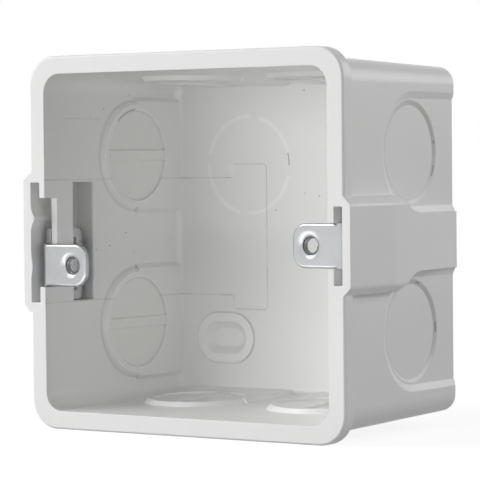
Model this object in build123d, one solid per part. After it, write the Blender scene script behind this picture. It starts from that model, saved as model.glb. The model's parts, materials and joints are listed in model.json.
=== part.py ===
from build123d import *
import os
from math import radians, tan

# Flush wall switch box: a moulded body with knock-outs, and two pressed steel screw lugs.
# X runs to the right, Y into the box and Z up. The origin is the middle of the front rim's plane.

# Front opening, rim and walls
screw_spacing = 60.3  # between the two lug holes, across the box
screw_to_mouth = 5.55  # from a lug hole's axis to the side of the opening
wall = 2.0
draft = 1.39  # degrees, on every wall, inside and outside
box_depth = 48.5
rear_wall = 2.0
rim_step = 1.8  # how far the rim stands out from the walls
rim_depth = 3.0
rim_corner = 6.3
wall_corner = 5.0
mouth_corner = 4.0
edge_break = 0.35  # chamfer on the rim's front edge and the rear edge
floor_round = 1.6  # inside, between the walls and the rear wall

# Knock-outs in the four walls
recess_radius = 12.5  # half width of the U-shaped recess outside, open to the rear
recess_depth = 0.65
recess_slope = 1.4  # width of its sloping side
disc_radius = 10.7
disc_slope = 0.85
disc_depth = 0.4
side_margin = 6.75  # from the recess to the next wall, on the side walls
top_margin = 9.2  # the same on the top and bottom walls
side_gap = 0.4  # from the end of the lug pocket to the recess
top_forward = 2.4  # how much further forward the knock-outs of the top and bottom walls lie
pad_half = 12.85  # half width of the raised pad inside
pad_ring = 12.0  # radius of its round front
pad_height = 1.0
pad_slope = 0.9
moon_radius = 10.0  # the two half-moon recesses in the pad
moon_depth = 0.45
moon_bar = 2.2  # bar left between them

# Knock-outs in the rear wall
ring_centre = (-15.0, 16.1)
ring_radius = 10.75
ring_width = 0.8
ring_skin = 0.6  # plastic left under the groove, which is cut from outside
ring_web = 2.2  # four webs that interrupt the groove
ring_turn = -7.0  # degrees
oval_centre = (-21.5, -22.5)
oval_length = 15.2
oval_width = 11.2
oval_height = 0.4
oval_rim = 1.95
oval_pocket = 1.5
oval_slope = 1.6

# Lug pockets in the side walls
strip = 1.4  # plastic between the opening and the slot
pocket_wall = 1.95
pocket_end = 1.7  # plastic behind the pocket
notch_depth = 4.05
bridge = 5.35  # strip left between the notch and the window
window = 6.7
band_slope = 1.6  # 45 degree sides of the outside band
band_margin = 0.4  # flat of the band beyond the slot's end
band_round = 1.1
band_tail = 0.35  # what is left of the band at the rear edge
bump_height = 1.0  # upper of the two ribs that grip the sliding lug
bump_worn = 0.35  # lower one, flattened by the lug
bump_length = 5.9
bump_offset = 5.1
bump_reach = 8.5
fixed_room = 0.65  # spare room beside the fixed lug's leg

# Lugs, pressed from sheet
sheet = 1.2
tab_width = 9.0
tab_overhang = 3.95  # from the hole's axis to the free end
tab_corner = 3.0
tab_roll = 0.6  # rounded front edge
bend_radius = 0.5
leg_width = 15.4
leg_corner = 1.5
shoulder_round = 0.6  # between the tab and the leg's shoulders, just behind the bend
notch_gap = 1.25  # between the tab and the floor of the notch
leg_gap = 1.5  # between the leg's end and the end of the pocket
thread_radius = 1.75  # core of the M4 thread
lip_width = 1.5  # drawn lip round the hole's mouth
lip_depth = 0.85
collar_radius = 2.6
collar_depth = 2.15
barb_length = 3.0
barb_width = 2.6
barb_height = 1.1
barb_inset = 0.5
barb_gap = 0.2

# Clearances and travel
play = 0.1
slide_travel = 9.7
slide_end = 0.2  # beyond the leg at either end of the travel

# Values that follow from those above
slope = tan(radians(draft))
mouth_half = screw_spacing / 2 + screw_to_mouth
wall_half = mouth_half + wall
rim_half = wall_half + rim_step
floor_y = box_depth - rear_wall
window_front = notch_depth + bridge
pocket_depth = window_front + window
crease = pocket_depth + pocket_end
slot_inner = mouth_half + strip
leg_inner = slot_inner + play
leg_outer = leg_inner + sheet
fixed_slot_outer = leg_outer + fixed_room
slide_slot_outer = leg_outer + play + bump_height
fixed_slot_half = leg_width / 2 + play
slide_slot_half = leg_width / 2 + slide_travel / 2 + slide_end
fixed_notch_half = tab_width / 2 + play
slide_notch_half = tab_width / 2 + slide_travel / 2 + play
side_offset = wall_half - side_margin - recess_radius
top_offset = wall_half - top_margin - recess_radius
side_centre = crease + side_gap + recess_radius
top_centre = side_centre - top_forward
past_rear = box_depth + rear_wall
hole_x = screw_spacing / 2
tab_front = notch_depth - notch_gap - sheet
leg_end = pocket_depth - leg_gap
bend_start = leg_inner - bend_radius
shoulder = sheet + bend_radius + shoulder_round
WALL_TURNS = {"right": 0, "top": -90, "left": 180, "bottom": 90}


def across(y):
    """Plane across the box at depth y, with X to the right and Z up."""
    return Plane.XZ.offset(-y)


def side_plane(half):
    """Plane of the drafted right-hand wall: x runs to the rear, y up and z outwards."""
    return Plane((half, 0, 0), x_dir=(-slope, 1, 0), z_dir=(1, slope, 0))


def block(x, y, z):
    """Straight block between two values on each axis."""
    size = [high - low for low, high in (x, y, z)]
    middle = [(low + high) / 2 for low, high in (x, y, z)]
    return Pos(*middle) * Box(*size)


def drafted_block(half, corner, depth):
    """Rounded square block that narrows by the draft from the front plane to a depth."""
    lost = slope * depth
    front = across(0) * RectangleRounded(2 * half, 2 * half, corner)
    rear = across(depth) * RectangleRounded(2 * (half - lost), 2 * (half - lost), corner - lost)
    return loft([front, rear], ruled=True)


def u_outline(radius, centre, offset):
    """U shape on a wall, round at the front and straight to behind the box."""
    low = offset - radius
    high = offset + radius
    nose = ThreePointArc((centre, low), (centre - radius, offset), (centre, high))
    legs = Polyline((centre, high), (past_rear, high), (past_rear, low), (centre, low))
    return make_face([nose, legs])


def straight_outline(half, centre, offset):
    """Rectangle on a wall from the knock-out's centre to behind the box."""
    length = past_rear - centre
    return Pos(centre + length / 2, offset) * Rectangle(length, 2 * half)


def recess_tool(centre, offset):
    """What one knock-out takes from the outside of a wall: the U-shaped recess and the sunk disc."""
    face = side_plane(wall_half)
    floor = face.offset(-recess_depth)
    top = face * u_outline(recess_radius, centre, offset)
    bottom = floor * u_outline(recess_radius - recess_slope, centre, offset)
    above = extrude(top, amount=rim_step + pocket_wall + recess_depth, dir=face.z_dir)
    disc = floor * Pos(centre, offset, -disc_depth / 2) * Cone(disc_radius - disc_slope, disc_radius, disc_depth)
    return loft([bottom, top], ruled=True) + above + disc


def pad_block(centre, offset):
    """Raised pad of one knock-out on the inside of a wall."""
    face = side_plane(mouth_half)
    top = face.offset(-pad_height)
    foot = face.offset(pad_height)
    legs = loft(
        [
            top * straight_outline(pad_half - pad_slope, centre, offset),
            foot * straight_outline(pad_half + pad_slope, centre, offset),
        ],
        ruled=True,
    )
    nose = face * Pos(centre, offset) * Cone(pad_ring - pad_slope, pad_ring + pad_slope, 2 * pad_height)
    return legs + nose


def moon_tool(centre, offset):
    """Two half-moon recesses in the pad, with a bar between them."""
    top = side_plane(mouth_half).offset(-pad_height)
    moons = Circle(moon_radius) - Rectangle(2 * moon_radius, moon_bar)
    return extrude(top * Pos(centre, offset) * moons, amount=moon_depth, dir=top.z_dir)


def on_all_walls(tool):
    """A pair of the tool's solids on each wall, further apart and further back on the side walls."""
    solids = []
    for name, turn in WALL_TURNS.items():
        centre, offset = (side_centre, side_offset) if name in ("left", "right") else (top_centre, top_offset)
        for side in (offset, -offset):
            solids.append(Rot(0, turn, 0) * tool(centre, side))
    return solids


def band_section(y, outer, half):
    """Section of a lug band: flat outside, sides at 45 degrees, rounded outer edges."""
    foot = half + band_slope
    inner = mouth_half - wall - band_slope
    points = [
        (inner, -foot),
        (outer - band_slope, -foot),
        (outer, -half),
        (outer, half),
        (outer - band_slope, foot),
        (inner, foot),
    ]
    section = make_face(Polyline(*points, close=True))
    edge_points = section.vertices().group_by(Axis.X)[-1]
    return across(y) * fillet(edge_points, band_round)


def lug_band(slot_outer, slot_half):
    """Outside band of a lug pocket: full height over the pocket, then falling to the rear edge."""
    outer = slot_outer + pocket_wall
    half = slot_half + band_margin
    front = band_section(0, outer, half)
    middle = band_section(crease, outer - slope * crease, half)
    rear = band_section(box_depth, wall_half - slope * box_depth + band_tail, half)
    return loft([front, middle], ruled=True) + loft([middle, rear], ruled=True)


def pocket_tool(slot_outer, slot_half, notch_half):
    """Slot for a lug's leg, the window behind the bridge and the notch for its tab."""
    reach = mouth_half - wall
    slot = block((slot_inner, slot_outer), (0, pocket_depth), (-slot_half, slot_half))
    opening = block((reach, slot_inner), (window_front, pocket_depth), (-slot_half, slot_half))
    notch = block((reach, slot_inner), (0, notch_depth), (-notch_half, notch_half))
    return slot + opening + notch


def grip_rib(z, height):
    """Rib on the outer side of the sliding lug's slot, flush with the front and blended into the wall."""
    half = bump_length / 2
    bow = Spline((0, -half), (-height, 0), (0, half), tangents=((0, 1), (0, 1)))
    foot = Polyline((0, half), (pocket_wall / 2, half), (pocket_wall / 2, -half), (0, -half))
    section = across(0) * Pos(slide_slot_outer, z) * make_face([bow, foot])
    return extrude(section, amount=-bump_reach)


def rear_ring():
    """Groove round the knock-out in the rear wall, cut from outside and interrupted by four webs."""
    ring = Circle(ring_radius + ring_width / 2) - Circle(ring_radius - ring_width / 2)
    length = 2 * (ring_radius + ring_width)
    webs = Rectangle(length, ring_web) + Rectangle(ring_web, length)
    groove = across(box_depth) * Pos(*ring_centre) * (ring - Rot(0, 0, ring_turn) * webs)
    return extrude(groove, amount=rear_wall - ring_skin)


def oval_boss():
    """Raised rim of the oval knock-out in the rear wall."""
    return extrude(across(floor_y) * Pos(*oval_centre) * SlotOverall(oval_length, oval_width), amount=oval_height)


def oval_tool():
    """Sloping pocket inside the oval knock-out's rim."""
    length = oval_length - 2 * oval_rim
    width = oval_width - 2 * oval_rim
    mouth_y = floor_y - oval_height
    mouth = across(mouth_y) * Pos(*oval_centre) * SlotOverall(length, width)
    bed = across(mouth_y + oval_pocket) * Pos(*oval_centre)
    bed = bed * SlotOverall(length - 2 * oval_slope, width - 2 * oval_slope)
    return loft([mouth, bed], ruled=True)


def box_body():
    """The moulding."""
    walls = drafted_block(wall_half, wall_corner, box_depth)
    walls = chamfer(walls.faces().sort_by(Axis.Y)[-1].edges(), edge_break)
    rim = extrude(across(0) * RectangleRounded(2 * rim_half, 2 * rim_half, rim_corner), amount=-rim_depth)
    rim = chamfer(rim.faces().sort_by(Axis.Y)[0].edges(), edge_break)
    right_band = lug_band(fixed_slot_outer, fixed_slot_half)
    left_band = mirror(lug_band(slide_slot_outer, slide_slot_half), Plane.YZ)
    outside = (walls + rim + right_band + left_band) - on_all_walls(recess_tool)
    cavity = drafted_block(mouth_half, mouth_corner, floor_y)
    cavity = fillet(cavity.faces().sort_by(Axis.Y)[-1].edges(), floor_round)
    cavity = cavity - on_all_walls(pad_block) - oval_boss()
    right_pocket = pocket_tool(fixed_slot_outer, fixed_slot_half, fixed_notch_half)
    left_pocket = pocket_tool(slide_slot_outer, slide_slot_half, slide_notch_half)
    left_pocket = left_pocket - grip_rib(bump_offset, bump_height) - grip_rib(-bump_offset, bump_worn)
    shell = outside - cavity - right_pocket - mirror(left_pocket, Plane.YZ)
    return shell - on_all_walls(moon_tool) - rear_ring() - oval_tool()


def lug_bend():
    """The leg and the bend, cut back at the shoulders to the tab's width."""
    centre = (bend_start, tab_front + sheet + bend_radius)
    outer_bend = CenterArc(centre, bend_radius + sheet, -90, 90)
    inner_bend = CenterArc(centre, bend_radius, -90, 90)
    blade = Polyline((leg_outer, centre[1]), (leg_outer, leg_end), (leg_inner, leg_end), (leg_inner, centre[1]))
    root = Line((bend_start, tab_front), (bend_start, tab_front + sheet))
    section = make_face([outer_bend, blade, inner_bend, root])
    leg = extrude(section, amount=leg_width / 2, both=True)
    end_edges = leg.edges().filter_by(Axis.X).group_by(Axis.Y)[-1]
    leg = fillet(end_edges, leg_corner)
    side = Pos(tab_front, leg_width / 2) * Rectangle(2 * shoulder, leg_width - tab_width)
    inner_point = side.vertices().sort_by_distance((leg_end, 0))[0]
    side = extrude(Plane.YZ * fillet(inner_point, shoulder_round), amount=2 * leg_outer)
    return leg - side - mirror(side, Plane.XY)


def lug_tab():
    """The tab with its rounded free end, rolled front edge and drawn thread collar."""
    tip = hole_x - tab_overhang
    outline = Pos((bend_start + tip) / 2, 0) * Rectangle(bend_start - tip, tab_width)
    outline = fillet(outline.vertices().group_by(Axis.X)[0], tab_corner)
    tab = extrude(across(tab_front) * outline, amount=-sheet)
    front = tab.faces().sort_by(Axis.Y)[0]
    tab = fillet(front.edges().sort_by(Axis.X)[:-1], tab_roll)
    seat = across(tab_front) * Pos(hole_x, 0)
    tab = tab + extrude(seat * Circle(collar_radius), amount=-collar_depth)
    tab = tab - extrude(seat * Circle(thread_radius), amount=-collar_depth)
    return tab - thread_lip()


def thread_lip():
    """What the drawn lip takes from the hole's mouth: a quarter ellipse turned about the hole's axis."""
    neck = tab_front + lip_depth
    edge = hole_x + thread_radius + lip_width
    roll = EllipticalCenterArc((edge, neck), lip_width, lip_depth, 180, arc_size=90)
    bore = Polyline((edge, tab_front), (hole_x, tab_front), (hole_x, neck), (hole_x + thread_radius, neck))
    return revolve(make_face([roll, bore]), Axis((hole_x, 0, 0), (0, 1, 0)))


def lug_barb(side):
    """One lanced tongue of the leg, and the opening it is bent out of."""
    near = window_front + barb_gap
    far = near + barb_length
    low = leg_width / 2 - leg_corner - barb_inset - barb_width
    tongue = Polyline(
        (leg_inner, far),
        (leg_inner - barb_height, near),
        (leg_outer - barb_height, near),
        (leg_outer, far),
        close=True,
    )
    tongue = Pos(0, 0, low) * extrude(make_face(tongue), amount=barb_width)
    opening = block((leg_inner, leg_outer), (near, far), (low, low + barb_width))
    if side < 0:
        return mirror(tongue, Plane.XY), mirror(opening, Plane.XY)
    return tongue, opening


def screw_lug():
    """A lug in the right-hand pocket, level with the middle of the box."""
    lug = lug_bend() + lug_tab()
    for side in (1, -1):
        tongue, opening = lug_barb(side)
        lug = lug - opening + tongue
    return lug


def main():
    lug = screw_lug()
    parts = {
        "box_body": box_body(),
        "fixed_lug": lug,
        "sliding_lug": Pos(0, 0, -slide_travel / 2) * Rot(0, 180, 0) * lug,
    }
    os.makedirs("parts", exist_ok=True)
    for name, solid in parts.items():
        export_step(solid, f"parts/{name}.step")


main()
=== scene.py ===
import json
from math import cos, pi, radians, sin

import bpy
from bpy.props import FloatProperty, FloatVectorProperty, IntProperty, PointerProperty
from mathutils import Matrix, Vector


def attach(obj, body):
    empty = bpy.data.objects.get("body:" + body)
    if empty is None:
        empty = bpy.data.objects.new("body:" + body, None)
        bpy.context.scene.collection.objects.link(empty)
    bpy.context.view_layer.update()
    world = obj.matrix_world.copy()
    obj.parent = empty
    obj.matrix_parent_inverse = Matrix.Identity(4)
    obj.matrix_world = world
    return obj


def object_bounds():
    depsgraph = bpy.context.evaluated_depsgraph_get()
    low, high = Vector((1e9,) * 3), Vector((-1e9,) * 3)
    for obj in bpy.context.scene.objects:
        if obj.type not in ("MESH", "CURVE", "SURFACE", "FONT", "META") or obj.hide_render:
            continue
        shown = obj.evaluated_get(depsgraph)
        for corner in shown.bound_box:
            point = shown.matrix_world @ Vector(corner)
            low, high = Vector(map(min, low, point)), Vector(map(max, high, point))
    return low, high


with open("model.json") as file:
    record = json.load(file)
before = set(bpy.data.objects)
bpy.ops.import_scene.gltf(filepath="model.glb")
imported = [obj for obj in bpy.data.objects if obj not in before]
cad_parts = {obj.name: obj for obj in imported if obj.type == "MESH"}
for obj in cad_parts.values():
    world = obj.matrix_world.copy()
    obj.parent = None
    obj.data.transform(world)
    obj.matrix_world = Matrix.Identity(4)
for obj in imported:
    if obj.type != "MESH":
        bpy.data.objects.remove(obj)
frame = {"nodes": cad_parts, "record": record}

bl_info = {
    "name": "Switch box finish",
    "version": (1, 0, 0),
    "blender": (4, 5, 0),
    "location": "View3D > Sidebar > Switch box",
    "description": "Dresses a flush wall switch box: moulding, zinc lugs, threads and a studio",
    "category": "Object",
}

CAD_BOX = [list(corner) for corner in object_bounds()]
MM = 0.001

HOLES = ("fixed_lug_hole", "sliding_lug_hole")

# Places and sizes on the moulding and the lugs are in millimetres in the part's frame. A share is how
# strongly a mark covers the colour below it.

# The moulding's surfaces
FLOOR_Y = 46.5
FLOOR_LAYER = 0.25
MOUTH_HALF = 35.7
WALL_SLOPE = 0.0243
WALL_LAYER = (-0.15, 2.4)
OUTSIDE = (35.2, 42.0)

# Middles of the round knock-outs: depth, and distance from the middle of the wall
SIDE_CENTRE = 30.7
SIDE_OFFSET = 18.45
TOP_CENTRE = 28.3
TOP_OFFSET = 16.0

# Sunk discs outside: radii of the step round them, which carries painted shade that grows towards the
# rear, and the half widths of the outline, a painted shade line at the step's foot and front edge
DISC_STEP = (9.85, 10.7)
DISC_STEP_SHADE_SHARES = (0.25, 0.8)
DISC_FOOT_WIDTH = 0.25
DISC_EDGE_WIDTH = 0.3
DISC_SHADE_LINE_SHARE = 0.6

# Pads inside: level and half width of the hairlines round the front, round the half moons and along
# the bar between them; the creases' hairlines are painted shade and the edges' are painted highlights
PAD_CREASES = ((12.1, 0.5), (9.75, 0.25), (1.25, 0.25))
PAD_EDGES = ((11.0, 0.45), (10.2, 0.35), (0.85, 0.25))
PAD_CREASE_SHADE_SHARE = 0.7
MOON_EDGE = 10.1
MOON_FADE = (9.1, 9.8)

# Round knock-out in the rear wall; painted light marks where light comes through the thin skin over
# its groove
RING_CENTRE = (-15.0, 16.1)
RING_RADIUS = 10.75
RING_LIGHT_FADE = (0.2, 0.65)
RING_WEB = 2.2
RING_WEB_BLUR = 0.2
RING_TURN = -7.0
RING_CUT = (-1.0, 14.0)

# Oval knock-out in the rear wall, with a painted highlight on its rim and painted shade at its foot
# and in its pocket
OVAL_CENTRE = (-21.5, -22.5)
OVAL_STRAIGHT = 4.0
OVAL_RADIUS = 5.6
OVAL_MOUTH = 3.65
OVAL_BED = 2.05
OVAL_LAYER = (45.9, 47.8)
OVAL_FOOT = (5.7, 0.35)
OVAL_FOOT_SHADE_SHARE = 0.7
OVAL_RIM_LIGHT_SHARE = 0.5
OVAL_POCKET_SHADE_SHARE = 0.2

# Seams of the mould's stepped insert and of the left wall
INSERT_LEFT = -50.0
INSERT_RIGHT = -10.3
INSERT_TOP = 16.3
INSERT_BOTTOM = -16.0
INSERT_CORNER = 0.9
INSERT_STEP = -18.9
INSERT_STEP_SHARE = 0.7
SEAM_LEVELS = (13.3, -12.9)
SEAM_GAP = 0.8
LEFT_SEAM_SHARE = 0.6
SCRATCH_LEVEL = 26.4
SCRATCH_REACH = (6.4, 19.2)
SCRATCH_SHARE = 0.4
BREAK_SIZE = 5.0
BREAK_SPAN = (0.3, 0.6)
BREAK_SHARES = (0.3, 0.8)

# Pale spot beside the insert's upper step
GATE_CENTRE = (-19.6, 14.9)
GATE_HALF = (1.0, 1.35)
GATE_FADE = (0.85, 1.05)
GATE_SHARE = 0.45

# Lug pockets, painted with shade towards their depth: reach from side to side, and half their height
POCKETS = (((-39.7, -35.75), 12.9), ((35.75, 39.7), 7.9))
POCKET_END = 16.3
POCKET_SHADE_FADE = (8.0, 12.0)

# Arcs that are nearly cut through round the side knock-outs: wall, height of the centre, radius,
# start and end angle
DISC_CUT = 10.3
CUT_ARCS = (
    ("right", SIDE_OFFSET, DISC_CUT, 10.0, 14.0),
    ("right", SIDE_OFFSET, DISC_CUT, -29.0, -15.0),
    ("right", -SIDE_OFFSET, DISC_CUT, -4.0, 8.0),
    ("right", -SIDE_OFFSET, DISC_CUT, 70.0, 79.0),
    ("left", SIDE_OFFSET, MOON_EDGE, 94.0, 132.0),
)
CUT_WIDTH = 0.3
CUT_SHARE = 0.75

# Specks, by cells to the millimetre, distances in cells and the lowest draw that gets one
SPECK_CELLS = 0.26
SPECK_FADE = (0.03, 0.075)
SPECK_DRAW = 0.8
SPECK_SHARE = 0.6

# Span in which most values of the noise lie
NOISE_SPAN = (0.3, 0.7)

# The plastic's drift of colour, its sheen and its waves, whose height is in metres
DRIFT_SIZE = 14.0
SHEEN_SIZE = 9.0
SHEEN_SWING = 0.02
WAVE_SIZE = 6.0
WAVE_STRENGTH = 0.05
WAVE_HEIGHT = 0.00002
SEAM_DEPTH = 1.5
PLASTIC_IOR = 1.53
PLASTIC_SAMPLES = 8

# The zinc's dull patches, the edge of the painted shade in the bores, rolling lines and dents, whose
# height is in metres
PATCH_SIZE = 2.6
PATCH_SPAN = (0.42, 0.72)
PATCH_SHARE = 0.5
BORE_SHADE_FADE = (0.03, 0.1)
ROLLING_STRETCH = (0.12, 1.0, 1.0)
ROLLING_SIZE = 0.2
ROLLING_HEIGHT = 0.008
ROLLING_SWING = (-0.01, 0.02)
DENT_SIZE = 3.5
DENT_STRENGTH = 0.08
DENT_HEIGHT = 0.00003
ZINC_SAMPLES = 6

# The thread's ridge: half its foot and its run-out in pitches, its height and how far its middle
# stands inside the bore in depths
RIDGE_HALF = 0.36
RIDGE_RUN_OUT = 0.2
RIDGE_HEIGHT = 1.25
RIDGE_INSET = 0.4
RIDGE_ANGLE = 30

# How brightly the lights meet the floor, where white is 1
FLOOR_LIGHT = 0.5

# Distances in metres from the box between which its shadow fades out on the floor
SHADOW_REACH = (0.06, 0.16)

# Large lights and a card a metre away: name, direction and height in degrees, size in metres,
# whether it lights surfaces and whether it shines in gloss. The studio's settings hold their power.
LIGHTS = (
    ("key", -60, 35, (0.6, 0.5), True, False),
    ("front", -25, 2, (0.6, 0.5), True, False),
    ("right", 90, 30, (0.6, 0.6), True, True),
    ("rear", 135, 20, (0.8, 0.5), True, True),
    ("card", -53, 43, (0.5, 0.6), False, True),
)
STRIP_SIZE = (1.0, 0.035)
STRIP_DISTANCE = 0.35
FLOOR_CARD_SIZE = (0.2, 0.1)
FLOOR_CARD_PLACE = (0.02, -0.085)
OFF_FLOOR = 0.002

# The camera's place in metres, and its turn, downward tilt and roll in degrees
CAMERA_PLACE = (0.31609, -0.43472, 0.01671)
CAMERA_ANGLES = (34.736, 1.695, -0.515)
SENSOR_WIDTH = 36.0
CLIP_START = 0.01


class MouldingLook(bpy.types.PropertyGroup):
    """Colour and finish of the white moulding, and the colours of its painted shade and painted
    light.
    """

    colour: FloatVectorProperty(
        name="Plastic",
        description="Colour of the rigid white plastic",
        subtype="COLOR",
        size=3,
        min=0.0,
        max=1.0,
        default=(0.9, 0.9, 0.895),
    )
    mottle: FloatProperty(
        name="Mottle",
        description="How much the colour drifts across a wall",
        subtype="FACTOR",
        min=0.0,
        max=0.2,
        default=0.003,
    )
    # Painted light where it comes through thin skin, painted highlights on edges and rims, and the
    # pale spot beside the insert's step
    pale_and_painted_light_colour: FloatVectorProperty(
        name="Thin skin",
        description="Colour of thin skin, where light comes through, and of edges",
        subtype="COLOR",
        size=3,
        min=0.0,
        max=1.0,
        default=(0.97, 0.97, 0.965),
    )
    moon_colour: FloatVectorProperty(
        name="Knock-out skin",
        description="Colour of the thin skin in the side walls' knock-outs",
        subtype="COLOR",
        size=3,
        min=0.0,
        max=1.0,
        default=(0.9, 0.9, 0.875),
    )
    # Painted shade deep in the lugs' pockets
    pocket_shade_colour: FloatVectorProperty(
        name="Pocket",
        description="Colour deep in the lugs' pockets, where darkness stays",
        subtype="COLOR",
        size=3,
        min=0.0,
        max=1.0,
        default=(0.72, 0.72, 0.705),
    )
    # Also the painted shade line round the sunk discs outside
    seam_and_shade_line_colour: FloatVectorProperty(
        name="Mould seam",
        description="Colour of the hairlines left by the mould's inserts",
        subtype="COLOR",
        size=3,
        min=0.0,
        max=1.0,
        default=(0.6, 0.6, 0.59),
    )
    # Painted shade in creases, at the foot of steps, on the sunk discs' steps and in the oval
    # knock-out
    crease_and_step_shade_colour: FloatVectorProperty(
        name="Crease",
        description="Colour in the foot of steps and corners",
        subtype="COLOR",
        size=3,
        min=0.0,
        max=1.0,
        default=(0.72, 0.72, 0.71),
    )
    seam_width: FloatProperty(
        name="Seam width",
        description="Width of a mould seam",
        subtype="DISTANCE",
        unit="LENGTH",
        min=0.0,
        default=0.00025,
        precision=5,
    )
    speck_colour: FloatVectorProperty(
        name="Speck",
        description="Colour of the dark specks in the plastic",
        subtype="COLOR",
        size=3,
        min=0.0,
        max=1.0,
        default=(0.25, 0.24, 0.23),
    )
    roughness: FloatProperty(
        name="Roughness",
        description="Roughness of the plastic's surface",
        subtype="FACTOR",
        min=0.0,
        max=1.0,
        default=0.32,
    )
    edge_radius: FloatProperty(
        name="Edge radius",
        description="Radius at which edges catch the light",
        subtype="DISTANCE",
        unit="LENGTH",
        min=0.0,
        default=0.0003,
        precision=5,
    )


class ZincLook(bpy.types.PropertyGroup):
    """Colour and finish of the two plated lugs."""

    colour: FloatVectorProperty(
        name="Zinc",
        description="Colour of the bright zinc plating",
        subtype="COLOR",
        size=3,
        min=0.0,
        max=1.0,
        default=(0.505, 0.515, 0.528),
    )
    dull_colour: FloatVectorProperty(
        name="Dull zinc",
        description="Colour where the plating has dulled",
        subtype="COLOR",
        size=3,
        min=0.0,
        max=1.0,
        default=(0.45, 0.46, 0.473),
    )
    # Painted shade inside the threaded holes
    bore_shade_colour: FloatVectorProperty(
        name="Bore",
        description="Colour of the metal inside the threaded holes",
        subtype="COLOR",
        size=3,
        min=0.0,
        max=1.0,
        default=(0.22, 0.225, 0.22),
    )
    roughness: FloatProperty(
        name="Roughness",
        description="Roughness of the plating",
        subtype="FACTOR",
        min=0.0,
        max=1.0,
        default=0.3,
    )
    edge_radius: FloatProperty(
        name="Edge radius",
        description="Radius at which edges catch the light",
        subtype="DISTANCE",
        unit="LENGTH",
        min=0.0,
        default=0.00012,
        precision=5,
    )


class ThreadSize(bpy.types.PropertyGroup):
    """Sizes of the threads in the two lugs."""

    pitch: FloatProperty(
        name="Pitch",
        description="Distance from one turn of the thread to the next",
        subtype="DISTANCE",
        unit="LENGTH",
        min=0.0001,
        default=0.0007,
        precision=5,
    )
    depth: FloatProperty(
        name="Depth",
        description="Height of the thread's ridge above the bore",
        subtype="DISTANCE",
        unit="LENGTH",
        min=0.0,
        default=0.0002,
        precision=5,
    )
    steps: IntProperty(
        name="Steps",
        description="Steps to one turn of the thread",
        min=12,
        max=96,
        default=40,
    )


class StudioSet(bpy.types.PropertyGroup):
    """Light, floor and camera."""

    floor_width: FloatProperty(
        name="Floor width",
        description="Width of the floor",
        subtype="DISTANCE",
        unit="LENGTH",
        min=0.5,
        default=4.0,
    )
    floor_colour: FloatVectorProperty(
        name="Floor",
        description="Colour that the floor throws back onto the box",
        subtype="COLOR",
        size=3,
        min=0.0,
        max=1.0,
        default=(0.25, 0.25, 0.25),
    )
    shadow_share: FloatProperty(
        name="Shadow",
        description="How much of the box's shadow the white floor shows",
        subtype="FACTOR",
        min=0.0,
        max=1.0,
        default=0.25,
    )
    fill: FloatProperty(
        name="Fill",
        description="Strength of the light from all round",
        min=0.0,
        max=2.0,
        default=0.08,
    )
    key_power: FloatProperty(
        name="Key light",
        description="Power of the large soft light above, to the left",
        subtype="POWER",
        unit="POWER",
        min=0.0,
        default=5.45,
    )
    front_power: FloatProperty(
        name="Front light",
        description="Power of the large soft light in front, to the left",
        subtype="POWER",
        unit="POWER",
        min=0.0,
        default=4.0,
    )
    right_power: FloatProperty(
        name="Right light",
        description="Power of the large soft light on the right",
        subtype="POWER",
        unit="POWER",
        min=0.0,
        default=0.8,
    )
    rear_power: FloatProperty(
        name="Rear light",
        description="Power of the large soft light behind, to the right",
        subtype="POWER",
        unit="POWER",
        min=0.0,
        default=3.2,
    )
    low_power: FloatProperty(
        name="Low strip",
        description="Power of the long strip that stands on the floor in front",
        subtype="POWER",
        unit="POWER",
        min=0.0,
        default=0.63,
    )
    card_power: FloatProperty(
        name="Card",
        description="Power of the large card high on the left, which only shines in gloss",
        subtype="POWER",
        unit="POWER",
        min=0.0,
        default=3.6,
    )
    floor_card_power: FloatProperty(
        name="Floor card",
        description="Power of the card on the floor in front, which only shines in gloss",
        subtype="POWER",
        unit="POWER",
        min=0.0,
        default=0.09,
    )
    lens: FloatProperty(
        name="Lens",
        description="Focal length of the camera",
        subtype="DISTANCE_CAMERA",
        unit="CAMERA",
        min=10.0,
        default=197.11,
    )


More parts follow.
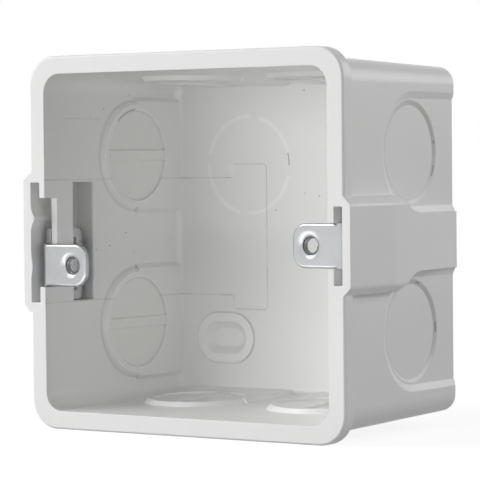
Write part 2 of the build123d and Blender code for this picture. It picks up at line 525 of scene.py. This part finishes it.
class Bench:
    """A new material and the shader nodes that are laid out in it."""

    def __init__(self, name):
        self.material = bpy.data.materials.new(name)
        self.material.use_nodes = True
        self.tree = self.material.node_tree
        self.tree.nodes.clear()

    def add(self, kind, inputs=(), **settings):
        node = self.tree.nodes.new("ShaderNode" + kind)
        for key, value in settings.items():
            setattr(node, key, value)
        for key, value in dict(inputs).items():
            self.feed(node.inputs[key], value)
        return node

    def feed(self, socket, value):
        if isinstance(value, bpy.types.NodeSocket):
            self.tree.links.new(value, socket)
        else:
            socket.default_value = value

    def sum(self, operation, *values, clamp=False):
        """One step of arithmetic on numbers or sockets."""
        node = self.add("Math", operation=operation, use_clamp=clamp)
        for socket, value in zip(node.inputs, values):
            self.feed(socket, value)
        return node.outputs[0]

    def vector(self, operation, *values):
        """One step of arithmetic on vectors."""
        node = self.add("VectorMath", operation=operation)
        for socket, value in zip(node.inputs, values):
            self.feed(socket, value)
        return node.outputs["Value" if operation == "LENGTH" else "Vector"]

    def beyond(self, arm, half_width, half_height):
        """Distance of a point from a rectangle round the origin, and 0 inside it."""
        past = self.vector("SUBTRACT", self.vector("ABSOLUTE", arm), (half_width, half_height, 0))
        return self.vector("LENGTH", self.vector("MAXIMUM", past, (0, 0, 0)))

    def scale(self, vector, factor):
        node = self.add("VectorMath", {"Scale": factor}, operation="SCALE")
        self.feed(node.inputs[0], vector)
        return node.outputs[0]

    def fade(self, value, start, end, low=0.0, high=1.0):
        """A value that goes smoothly from low at start to high at end."""
        wires = {
            "Value": value,
            "From Min": start,
            "From Max": end,
            "To Min": low,
            "To Max": high,
        }
        return self.add("MapRange", wires, interpolation_type="SMOOTHSTEP").outputs[0]

    def within(self, value, low, high):
        """1 between two values and 0 outside them."""
        return self.sum("COMPARE", value, (low + high) / 2, (high - low) / 2)

    def mix(self, factor, first, second, blend="MIX"):
        node = self.add("Mix", data_type="RGBA", blend_type=blend)
        for index, value in ((0, factor), (6, first), (7, second)):
            self.feed(node.inputs[index], value)
        return node.outputs[2]

    def largest(self, *values):
        top = values[0]
        for value in values[1:]:
            top = self.sum("MAXIMUM", top, value)
        return top

    def product(self, *values):
        total = values[0]
        for value in values[1:]:
            total = self.sum("MULTIPLY", total, value)
        return total

    def noise(self, place, size, detail=3.0, rough=0.5):
        """Soft noise with features of about the given size in millimetres."""
        wires = {"Vector": place, "Scale": 1 / size, "Detail": detail, "Roughness": rough}
        return self.add("TexNoise", wires).outputs["Fac"]

    def place(self):
        """Object coordinates in millimetres."""
        return self.scale(self.add("TexCoord").outputs["Object"], 1 / MM)

    def relief(self, height, strength, distance, edge_radius, samples):
        """Normal of a surface with fine relief and soft edges."""
        edge = self.add("Bevel", {"Radius": edge_radius}, samples=samples).outputs[0]
        wires = {"Height": height, "Strength": strength, "Distance": distance, "Normal": edge}
        return self.add("Bump", wires).outputs[0]

    def shade(self, inputs):
        shader = self.add("BsdfPrincipled", inputs)
        output = self.add("OutputMaterial")
        self.tree.links.new(shader.outputs[0], output.inputs["Surface"])
        return self.material


def rgba(colour):
    return (*colour, 1.0)


class MouldingBench(Bench):
    """The moulding's material, with the places and the masks of its walls."""

    def __init__(self, name, look):
        super().__init__(name)
        self.look = look
        self.point = self.place()
        self.x, self.y, self.z = self.add("SeparateXYZ", {"Vector": self.point}).outputs
        self.rear = self.add("CombineXYZ", {"X": self.x, "Y": self.z}).outputs[0]
        self.side = self.add("CombineXYZ", {"X": self.y, "Y": self.z}).outputs[0]
        self.on_rear = self.within(self.y, FLOOR_Y - FLOOR_LAYER, FLOOR_Y + FLOOR_LAYER)
        inner_face = self.sum("MULTIPLY_ADD", self.y, WALL_SLOPE, -MOUTH_HALF)
        self.on_left = self.within(self.sum("SUBTRACT", self.x, inner_face), *WALL_LAYER)
        drift = self.noise(self.point, DRIFT_SIZE)
        drift = self.fade(drift, *NOISE_SPAN, 1 - look.mottle, 1 + look.mottle)
        self.colour = self.mix(1.0, rgba(look.colour), drift, "MULTIPLY")

    def tint(self, mark, colour):
        """Covers the colour so far with another one where a mask is set."""
        self.colour = self.mix(mark, self.colour, rgba(colour))

    def both_levels(self, mark):
        """One mark made round the upper and the lower knock-out of a side wall."""
        return [mark(self, level) for level in (SIDE_OFFSET, -SIDE_OFFSET)]


def line_mark(bench, across, level, width):
    """Mask of a hairline at one level."""
    gap = bench.sum("ABSOLUTE", bench.sum("SUBTRACT", across, level))
    return bench.fade(gap, 0.0, width, 1.0, 0.0)


def arc_mark(bench, flat, centre, radius, start, end):
    """Mask of a nearly cut arc between two angles in degrees."""
    arm = bench.vector("SUBTRACT", flat, (*centre, 0))
    line = line_mark(bench, bench.vector("LENGTH", arm), radius, CUT_WIDTH)
    sides = bench.add("SeparateXYZ", {"Vector": arm}).outputs
    angle = bench.sum("ARCTAN2", sides["Y"], sides["X"])
    return bench.product(line, bench.within(angle, radians(start), radians(end)))


def insert_seam(bench, width):
    """Mask of the seam that the mould's stepped insert leaves on the rear wall."""
    middle = ((INSERT_LEFT + INSERT_RIGHT) / 2, (INSERT_TOP + INSERT_BOTTOM) / 2, 0)
    half_width = (INSERT_RIGHT - INSERT_LEFT) / 2 - INSERT_CORNER
    half_height = (INSERT_TOP - INSERT_BOTTOM) / 2 - INSERT_CORNER
    arm = bench.vector("SUBTRACT", bench.rear, middle)
    outline = line_mark(bench, bench.beyond(arm, half_width, half_height), INSERT_CORNER, width)
    outline = bench.product(outline, bench.sum("GREATER_THAN", bench.x, INSERT_STEP))
    legs = bench.largest(*(line_mark(bench, bench.z, level, width) for level in SEAM_LEVELS))
    legs = bench.product(legs, bench.sum("LESS_THAN", bench.x, INSERT_STEP - SEAM_GAP))
    step = line_mark(bench, bench.x, INSERT_STEP - SEAM_GAP / 2, width)
    step = bench.product(step, bench.within(bench.z, INSERT_BOTTOM, SEAM_LEVELS[1]))
    return bench.largest(outline, legs, bench.product(step, INSERT_STEP_SHARE))


def ring_skin_light(bench):
    """Mask of the painted light that comes through the skin over the round groove outside the rear
    wall, interrupted by its webs.
    """
    arm = bench.vector("SUBTRACT", bench.rear, (*RING_CENTRE, 0))
    off = bench.sum("SUBTRACT", bench.vector("LENGTH", arm), RING_RADIUS)
    skin = bench.fade(bench.sum("ABSOLUTE", off), *RING_LIGHT_FADE, 1.0, 0.0)
    turn = {"Vector": arm, "Angle": -radians(RING_TURN)}
    turned = bench.add("VectorRotate", turn, rotation_type="Z_AXIS").outputs[0]
    sides = bench.add("SeparateXYZ", {"Vector": turned}).outputs
    clear = []
    for name in "XY":
        past_web = bench.sum("SUBTRACT", bench.sum("ABSOLUTE", sides[name]), RING_WEB / 2)
        clear.append(bench.fade(past_web, -RING_WEB_BLUR, RING_WEB_BLUR))
    return bench.product(skin, *clear)


def gate_mark(bench):
    """Mask of the pale spot beside the insert's upper step."""
    arm = bench.vector("SUBTRACT", bench.rear, (*GATE_CENTRE, 0))
    arm = bench.vector("DIVIDE", arm, (*GATE_HALF, 1))
    return bench.fade(bench.vector("LENGTH", arm), *GATE_FADE, 1.0, 0.0)


def pad_shade_and_light_marks(bench, level):
    """Masks of the painted shade in the creases and of the painted highlights on the edges round one
    side wall's pad and its half moons.
    """
    arm = bench.vector("SUBTRACT", bench.side, (SIDE_CENTRE, level, 0))
    forward, up, _ = bench.add("SeparateXYZ", {"Vector": arm}).outputs
    out = bench.vector("LENGTH", arm)
    across = bench.sum("ABSOLUTE", up)
    round_front = bench.sum("LESS_THAN", forward, 0.0)
    on_moons = bench.sum("LESS_THAN", out, MOON_EDGE)
    marks = []
    for front, moon, bar in (PAD_CREASES, PAD_EDGES):
        lines = (
            bench.product(line_mark(bench, out, *front), round_front),
            line_mark(bench, out, *moon),
            bench.product(line_mark(bench, across, *bar), on_moons),
        )
        marks.append(bench.largest(*lines))
    return marks


def moon_mark(bench, level):
    """Mask of the thin skin inside one side wall's knock-out."""
    arm = bench.vector("SUBTRACT", bench.side, (SIDE_CENTRE, level, 0))
    return bench.fade(bench.vector("LENGTH", arm), *MOON_FADE, 1.0, 0.0)


def disc_shade_marks(bench, across, centre, offset):
    """Masks of the painted shade on the step round the sunk discs outside two walls, stronger towards
    the rear, and of the painted shade line at its foot and front edge.
    """
    foot, edge = DISC_STEP
    forward = bench.sum("SUBTRACT", bench.y, centre)
    beside = bench.sum("SUBTRACT", bench.sum("ABSOLUTE", across), offset)
    arm = bench.add("CombineXYZ", {"X": forward, "Y": beside}).outputs[0]
    out = bench.vector("LENGTH", arm)
    to_rear = bench.fade(forward, -foot, foot / 2, *DISC_STEP_SHADE_SHARES)
    slope = bench.product(bench.within(out, foot, edge), to_rear)
    front_edge = line_mark(bench, out, edge, DISC_EDGE_WIDTH)
    front_edge = bench.product(front_edge, bench.sum("LESS_THAN", forward, 0.0))
    return slope, bench.largest(line_mark(bench, out, foot, DISC_FOOT_WIDTH), front_edge)


def tint_pads(bench):
    """Paints shade into the creases and highlights onto the edges of the pads inside the left wall.
    """
    pads = bench.both_levels(pad_shade_and_light_marks)
    creases, edges = (bench.product(bench.largest(*marks), bench.on_left) for marks in zip(*pads))
    # Painted shade in the creases, then painted highlights on the edges
    bench.tint(bench.product(creases, PAD_CREASE_SHADE_SHARE), bench.look.crease_and_step_shade_colour)
    bench.tint(edges, bench.look.pale_and_painted_light_colour)


def tint_discs(bench):
    """Paints shade on the steps round the sunk discs outside all four walls, and a shade line round
    them.
    """
    for out, across, centre, offset in (
        (bench.x, bench.z, SIDE_CENTRE, SIDE_OFFSET),
        (bench.z, bench.x, TOP_CENTRE, TOP_OFFSET),
    ):
        on_outside = bench.within(bench.sum("ABSOLUTE", out), *OUTSIDE)
        slope, outline = disc_shade_marks(bench, across, centre, offset)
        # Painted shade on the step, stronger towards the rear, and a painted shade line round it
        bench.tint(bench.product(slope, on_outside), bench.look.crease_and_step_shade_colour)
        outline = bench.product(outline, on_outside, DISC_SHADE_LINE_SHARE)
        bench.tint(outline, bench.look.seam_and_shade_line_colour)


def tint_oval(bench):
    """Paints a highlight on the rim of the oval knock-out, and shade at its foot and in its sloping
    pocket.
    """
    arm = bench.vector("SUBTRACT", bench.rear, (*OVAL_CENTRE, 0))
    out = bench.beyond(arm, OVAL_STRAIGHT / 2, 0)
    on_oval = bench.within(bench.y, *OVAL_LAYER)
    # Painted highlight on the rim, painted shade at the foot and in the pocket
    rim = bench.product(bench.within(out, OVAL_MOUTH, OVAL_RADIUS), on_oval, OVAL_RIM_LIGHT_SHARE)
    bench.tint(rim, bench.look.pale_and_painted_light_colour)
    foot = bench.product(line_mark(bench, out, *OVAL_FOOT), on_oval, OVAL_FOOT_SHADE_SHARE)
    pocket = bench.product(bench.within(out, OVAL_BED, OVAL_MOUTH), on_oval, OVAL_POCKET_SHADE_SHARE)
    bench.tint(bench.largest(foot, pocket), bench.look.crease_and_step_shade_colour)


def tint_pockets(bench):
    """Paints shade into the depth of the lugs' pockets."""
    pockets = []
    for reach, half in POCKETS:
        in_height = bench.within(bench.z, -half, half)
        pockets.append(bench.product(bench.within(bench.x, *reach), in_height))
    in_depth = bench.within(bench.y, 0.0, POCKET_END)
    deep = bench.fade(bench.y, *POCKET_SHADE_FADE)
    # Painted shade, growing towards the pockets' depth
    bench.tint(bench.product(bench.largest(*pockets), in_depth, deep), bench.look.pocket_shade_colour)


def tint_skins(bench):
    """Tints the thin skin of the knock-outs, paints light where it comes through the skin over the
    rear ring, and paints the pale spot beside the insert's step. Returns the mask of what lies off
    the half moons.
    """
    moons = bench.largest(*bench.both_levels(moon_mark))
    bench.tint(bench.product(moons, bench.on_left), bench.look.moon_colour)
    # Painted light through the rear ring's thin skin, with the pale spot beside the insert's step
    pale = bench.largest(ring_skin_light(bench), bench.product(gate_mark(bench), GATE_SHARE))
    bench.tint(bench.product(pale, bench.on_rear), bench.look.pale_and_painted_light_colour)
    return bench.sum("SUBTRACT", 1.0, moons)


def tint_seams(bench, off_moons):
    """Draws the mould's seams and returns their mask."""
    width = bench.look.seam_width / MM
    left = bench.largest(*(line_mark(bench, bench.z, level, width) for level in SEAM_LEVELS))
    scratch = line_mark(bench, bench.z, SCRATCH_LEVEL, width)
    scratch = bench.product(scratch, bench.within(bench.y, *SCRATCH_REACH))
    seams = bench.largest(
        bench.product(insert_seam(bench, width), bench.on_rear),
        bench.product(left, bench.on_left, off_moons, LEFT_SEAM_SHARE),
        bench.product(scratch, bench.on_left, SCRATCH_SHARE),
    )
    broken = bench.noise(bench.point, BREAK_SIZE, detail=2.0)
    broken = bench.fade(broken, *BREAK_SPAN, *BREAK_SHARES)
    bench.tint(bench.product(seams, broken), bench.look.seam_and_shade_line_colour)
    return seams


def tint_cuts(bench):
    """Draws the nearly cut arcs and returns their mask."""
    ring = arc_mark(bench, bench.rear, RING_CENTRE, RING_RADIUS, *RING_CUT)
    cuts = [bench.product(ring, bench.on_rear)]
    walls = {"left": bench.on_left, "right": bench.within(bench.x, *OUTSIDE)}
    for wall, level, radius, start, end in CUT_ARCS:
        arc = arc_mark(bench, bench.side, (SIDE_CENTRE, level), radius, start, end)
        cuts.append(bench.product(arc, walls[wall]))
    cut = bench.largest(*cuts)
    bench.tint(bench.product(cut, CUT_SHARE), bench.look.speck_colour)
    return cut


def tint_specks(bench):
    """Scatters dark specks, one to a cell that draws one."""
    wires = {"Vector": bench.point, "Scale": SPECK_CELLS, "Randomness": 1.0}
    cells = bench.add("TexVoronoi", wires)
    draw = bench.add("SeparateXYZ", {"Vector": cells.outputs["Color"]}).outputs[0]
    speck = bench.fade(cells.outputs["Distance"], *SPECK_FADE, 1.0, 0.0)
    speck = bench.product(speck, bench.sum("GREATER_THAN", draw, SPECK_DRAW))
    bench.tint(bench.product(speck, SPECK_SHARE), bench.look.speck_colour)


def plastic_material(look):
    """White rigid plastic with the marks of its mould and knock-outs, specks and soft edges, with
    painted shade in creases, on steps and in pockets, and painted light on edges, the oval's rim and
    thin skin.
    """
    bench = MouldingBench("white_moulding", look)
    tint_pads(bench)
    tint_discs(bench)
    tint_oval(bench)
    tint_pockets(bench)
    off_moons = tint_skins(bench)
    seams = tint_seams(bench, off_moons)
    cut = tint_cuts(bench)
    tint_specks(bench)
    sheen = bench.noise(bench.point, SHEEN_SIZE, detail=2.0)
    limits = (look.roughness - SHEEN_SWING, look.roughness + SHEEN_SWING)
    sheen = bench.fade(sheen, *NOISE_SPAN, *limits)
    sunk = bench.product(bench.largest(seams, cut), SEAM_DEPTH)
    waves = bench.noise(bench.point, WAVE_SIZE, detail=1.0)
    height = bench.sum("SUBTRACT", waves, sunk)
    normal = bench.relief(height, WAVE_STRENGTH, WAVE_HEIGHT, look.edge_radius, PLASTIC_SAMPLES)
    wires = {"Base Color": bench.colour, "Roughness": sheen, "Normal": normal}
    return bench.shade({**wires, "IOR": PLASTIC_IOR})


def hole_of(name):
    """Middle, radius and length in metres of a lug's hole, from the record."""
    for mount in frame["record"]["mounts"]:
        if mount["name"] == name:
            dims = mount["dims"]
            return Vector(mount["pos_m"]), dims["r_mm"] * MM, dims["length_mm"] * MM
    raise ValueError(f"the record has no hole named {name}")


def bore_shade_mark(bench, place, name):
    """Mask of the painted shade on the wall of one lug's hole."""
    middle, radius, _ = hole_of(name)
    arm = bench.vector("SUBTRACT", place, middle / MM)
    arm = bench.vector("MULTIPLY", arm, (1, 0, 1))
    outside = bench.sum("SUBTRACT", bench.vector("LENGTH", arm), radius / MM)
    return bench.fade(outside, *BORE_SHADE_FADE, 1.0, 0.0)


def zinc_material(look):
    """Bright zinc on pressed sheet: dull patches, faint rolling lines, painted shade in the bores,
    soft edges.
    """
    bench = Bench("bright_zinc")
    place = bench.place()
    patch = bench.noise(place, PATCH_SIZE, detail=4.0, rough=0.6)
    patch = bench.product(bench.fade(patch, *PATCH_SPAN), PATCH_SHARE)
    colour = bench.mix(patch, rgba(look.colour), rgba(look.dull_colour))
    # Painted shade inside the bores
    bores = bench.largest(*(bore_shade_mark(bench, place, name) for name in HOLES))
    colour = bench.mix(bores, colour, rgba(look.bore_shade_colour))
    lines = bench.add("Mapping", {"Vector": place, "Scale": ROLLING_STRETCH}).outputs[0]
    rolling = bench.noise(lines, ROLLING_SIZE, detail=2.0)
    limits = (look.roughness + swing for swing in ROLLING_SWING)
    gloss = bench.fade(rolling, *NOISE_SPAN, *limits)
    dents = bench.noise(place, DENT_SIZE, detail=1.0)
    height = bench.sum("ADD", bench.product(rolling, ROLLING_HEIGHT), dents)
    normal = bench.relief(height, DENT_STRENGTH, DENT_HEIGHT, look.edge_radius, ZINC_SAMPLES)
    wires = {"Base Color": colour, "Roughness": gloss, "Normal": normal}
    return bench.shade({**wires, "Metallic": 1.0})


def paint(piece, material):
    """Gives a piece one material all over."""
    if not piece.data.materials:
        piece.data.materials.append(material)
    for slot in piece.material_slots:
        slot.material = material


def deselect_all():
    if bpy.context.mode != "OBJECT":
        bpy.ops.object.mode_set(mode="OBJECT")
    bpy.ops.object.select_all(action="DESELECT")


class SWITCHBOX_OT_moulding(bpy.types.Operator):
    """Give the moulding its white plastic"""

    bl_idname = "switchbox.moulding"
    bl_label = "Moulding"

    def execute(self, context):
        plastic = plastic_material(context.scene.switchbox_moulding)
        paint(frame["nodes"]["box_body"], plastic)
        return {"FINISHED"}


class SWITCHBOX_OT_lugs(bpy.types.Operator):
    """Give the two lugs their zinc plating"""

    bl_idname = "switchbox.lugs"
    bl_label = "Lugs"

    def execute(self, context):
        zinc = zinc_material(context.scene.switchbox_zinc)
        for name in ("fixed_lug", "sliding_lug"):
            paint(frame["nodes"][name], zinc)
        return {"FINISHED"}


def thread_ridge(name, hole_name, size):
    """A helical ridge on the wall of a lug's hole, from its flare to its far end."""
    middle, radius, length = hole_of(hole_name)
    deselect_all()
    half = size.pitch * RIDGE_HALF
    upright = (0, 0, pi / 2)
    bpy.ops.mesh.primitive_circle_add(
        vertices=3, radius=half, fill_type="NOTHING", rotation=upright
    )
    ridge = bpy.context.object
    ridge.name = name
    ridge.data.name = name
    bpy.ops.object.transform_apply(location=False, rotation=True, scale=False)
    bpy.ops.object.mode_set(mode="EDIT")
    bpy.ops.mesh.select_all(action="SELECT")
    triangle_height = 1.5 * half
    flat = size.depth / triangle_height * RIDGE_HEIGHT
    bpy.ops.transform.resize(value=(flat, 1.0, 1.0), center_override=(0, 0, 0))
    bpy.ops.transform.translate(value=(radius - size.depth * RIDGE_INSET, -length / 2, 0))
    bpy.ops.object.mode_set(mode="OBJECT")
    turns = (length + size.pitch * RIDGE_RUN_OUT) / size.pitch
    screw = ridge.modifiers.new("turns", "SCREW")
    screw.axis = "Y"
    screw.angle = 2 * pi * turns
    screw.screw_offset = size.pitch * turns
    screw.steps = round(size.steps * turns)
    screw.render_steps = screw.steps
    screw.use_normal_calculate = True
    bpy.ops.object.modifier_apply(modifier=screw.name)
    ridge.location = middle
    bpy.ops.object.transform_apply(location=True, rotation=True, scale=True)
    bpy.ops.object.mode_set(mode="EDIT")
    bpy.ops.mesh.select_all(action="SELECT")
    bpy.ops.mesh.remove_doubles(threshold=1e-7)
    bpy.ops.mesh.fill_holes(sides=3)
    bpy.ops.mesh.select_all(action="SELECT")
    bpy.ops.mesh.normals_make_consistent(inside=False)
    bpy.ops.object.mode_set(mode="OBJECT")
    bpy.ops.object.shade_smooth_by_angle(angle=radians(RIDGE_ANGLE))
    return ridge


class SWITCHBOX_OT_threads(bpy.types.Operator):
    """Cut a thread in each lug's hole"""

    bl_idname = "switchbox.threads"
    bl_label = "Threads"

    def execute(self, context):
        zinc = bpy.data.materials["bright_zinc"]
        size = context.scene.switchbox_thread
        names = ("fixed_lug_thread", "sliding_lug_thread")
        for name, hole, body in zip(names, HOLES, ("box", "lug")):
            ridge = thread_ridge(name, hole, size)
            paint(ridge, zinc)
            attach(ridge, body)
        return {"FINISHED"}


def seen_straight(bench):
    """1 for rays that show the backdrop: from the camera, off gloss and through glass."""
    path = bench.add("LightPath")
    kinds = ("Camera", "Glossy", "Transmission")
    return bench.largest(*(path.outputs[f"Is {kind} Ray"] for kind in kinds))


def floor_material(studio):
    """White where it is seen, with a faint shadow, and a plain grey for what it throws back."""
    bench = Bench("studio_floor")
    cloth = bench.add("BsdfDiffuse", {"Color": rgba(studio.floor_colour)})
    reach = bench.vector("LENGTH", bench.add("TexCoord").outputs["Object"])
    share = bench.fade(reach, *SHADOW_REACH, studio.shadow_share, 0.0)
    pale = bench.add("BsdfDiffuse", {"Color": share})
    rest = bench.sum("SUBTRACT", 1.0, bench.product(share, FLOOR_LIGHT))
    white = bench.add("Emission", {"Strength": rest})
    seen = bench.add("AddShader")
    bench.tree.links.new(white.outputs[0], seen.inputs[0])
    bench.tree.links.new(pale.outputs[0], seen.inputs[1])
    both = bench.add("MixShader", {"Fac": seen_straight(bench)})
    bench.tree.links.new(cloth.outputs[0], both.inputs[1])
    bench.tree.links.new(seen.outputs[0], both.inputs[2])
    output = bench.add("OutputMaterial")
    bench.tree.links.new(both.outputs[0], output.inputs["Surface"])
    return bench.material


def studio_world(studio):
    """Even light from all round, seen as plain white."""
    world = bpy.data.worlds.new("studio_white")
    world.use_nodes = True
    tree = world.node_tree
    background = tree.nodes["Background"]
    path = tree.nodes.new("ShaderNodeLightPath")
    seen = path.outputs["Is Camera Ray"]
    for kind in ("Glossy", "Transmission"):
        top = tree.nodes.new("ShaderNodeMath")
        top.operation = "MAXIMUM"
        tree.links.new(seen, top.inputs[0])
        tree.links.new(path.outputs[f"Is {kind} Ray"], top.inputs[1])
        seen = top.outputs[0]
    strength = tree.nodes.new("ShaderNodeMapRange")
    tree.links.new(seen, strength.inputs["Value"])
    strength.inputs["To Min"].default_value = studio.fill
    strength.inputs["To Max"].default_value = 1.0
    tree.links.new(strength.outputs[0], background.inputs["Strength"])
    background.inputs["Color"].default_value = (1.0, 1.0, 1.0, 1.0)
    return world


def on_compass(azimuth, elevation=0.0):
    """Direction from the box. Azimuth 0 is the front and 90 the right."""
    turn, rise = radians(azimuth), radians(elevation)
    return Vector((sin(turn) * cos(rise), -cos(turn) * cos(rise), sin(rise)))


def soft_light(name, place, facing, size, power, lit, in_gloss):
    """A soft light out of the camera's sight. It lights surfaces, or shines in gloss, or both."""
    lamp = bpy.data.lights.new(name, "AREA")
    lamp.shape = "RECTANGLE"
    lamp.size, lamp.size_y = size
    lamp.energy = power
    light = bpy.data.objects.new(name, lamp)
    light.location = place
    light.rotation_euler = (-facing).to_track_quat("Z", "Y").to_euler()
    light.visible_camera = False
    light.visible_diffuse = lit
    light.visible_glossy = in_gloss
    bpy.context.scene.collection.objects.link(light)


def studio_lights(studio, floor_level):
    """Large soft lights and a card a metre away, and a low strip and a card in front."""
    for name, azimuth, elevation, size, lit, in_gloss in LIGHTS:
        place = on_compass(azimuth, elevation)
        power = getattr(studio, f"{name}_power")
        soft_light(name, place, -place, size, power, lit, in_gloss)
    above = Vector((0, 0, 1))
    front = on_compass(0)
    place = front * STRIP_DISTANCE + above * (floor_level + STRIP_SIZE[1] / 2 + OFF_FLOOR)
    soft_light("low_strip", place, -front, STRIP_SIZE, studio.low_power, True, False)
    place = Vector((*FLOOR_CARD_PLACE, floor_level + OFF_FLOOR))
    power = studio.floor_card_power
    soft_light("floor_card", place, above, FLOOR_CARD_SIZE, power, False, True)


def studio_camera(lens):
    """The camera at the photograph's place, looking into the box from its right-hand side."""
    camera = bpy.data.cameras.new("camera")
    camera.sensor_fit = "HORIZONTAL"
    camera.sensor_width = SENSOR_WIDTH
    camera.lens = lens
    camera.clip_start = CLIP_START
    holder = bpy.data.objects.new("camera", camera)
    yaw, pitch, roll = (radians(angle) for angle in CAMERA_ANGLES)
    turn = Matrix.Rotation(yaw, 4, "Z") @ Matrix.Rotation(pi / 2 - pitch, 4, "X")
    turn = turn @ Matrix.Rotation(roll, 4, "Z")
    holder.matrix_world = Matrix.Translation(CAMERA_PLACE) @ turn
    bpy.context.scene.collection.objects.link(holder)
    bpy.context.scene.camera = holder


class SWITCHBOX_OT_studio(bpy.types.Operator):
    """Set up the floor, the light and the camera"""

    bl_idname = "switchbox.studio"
    bl_label = "Studio"

    def execute(self, context):
        studio = context.scene.switchbox_studio
        floor_level = CAD_BOX[0][2]
        deselect_all()
        bpy.ops.mesh.primitive_plane_add(size=studio.floor_width, location=(0, 0, floor_level))
        floor = bpy.context.object
        floor.name = "floor"
        paint(floor, floor_material(studio))
        context.scene.world = studio_world(studio)
        studio_lights(studio, floor_level)
        studio_camera(studio.lens)
        context.scene.view_settings.view_transform = "Standard"
        return {"FINISHED"}


class SWITCHBOX_PT_panel(bpy.types.Panel):
    """Lists the steps that dress the switch box"""

    bl_idname = "SWITCHBOX_PT_panel"
    bl_label = "Switch box"
    bl_space_type = "VIEW_3D"
    bl_region_type = "UI"
    bl_category = "Switch box"

    def draw(self, context):
        for group, step in STEPS:
            box = self.layout.box()
            box.operator(step.bl_idname)
            values = getattr(context.scene, group)
            for name in type(values).__annotations__:
                box.prop(values, name)


GROUPS = {
    "switchbox_moulding": MouldingLook,
    "switchbox_zinc": ZincLook,
    "switchbox_thread": ThreadSize,
    "switchbox_studio": StudioSet,
}
STEPS = (
    ("switchbox_moulding", SWITCHBOX_OT_moulding),
    ("switchbox_zinc", SWITCHBOX_OT_lugs),
    ("switchbox_thread", SWITCHBOX_OT_threads),
    ("switchbox_studio", SWITCHBOX_OT_studio),
)


def register():
    for name, group in GROUPS.items():
        bpy.utils.register_class(group)
        setattr(bpy.types.Scene, name, PointerProperty(type=group))
    for _, step in STEPS:
        bpy.utils.register_class(step)
    bpy.utils.register_class(SWITCHBOX_PT_panel)


def unregister():
    bpy.utils.unregister_class(SWITCHBOX_PT_panel)
    for _, step in reversed(STEPS):
        bpy.utils.unregister_class(step)
    for name, group in reversed(GROUPS.items()):
        delattr(bpy.types.Scene, name)
        bpy.utils.unregister_class(group)


def main():
    register()
    bpy.ops.switchbox.moulding()
    bpy.ops.switchbox.lugs()
    bpy.ops.switchbox.threads()
    bpy.ops.switchbox.studio()


if __name__ == "__main__":
    main()
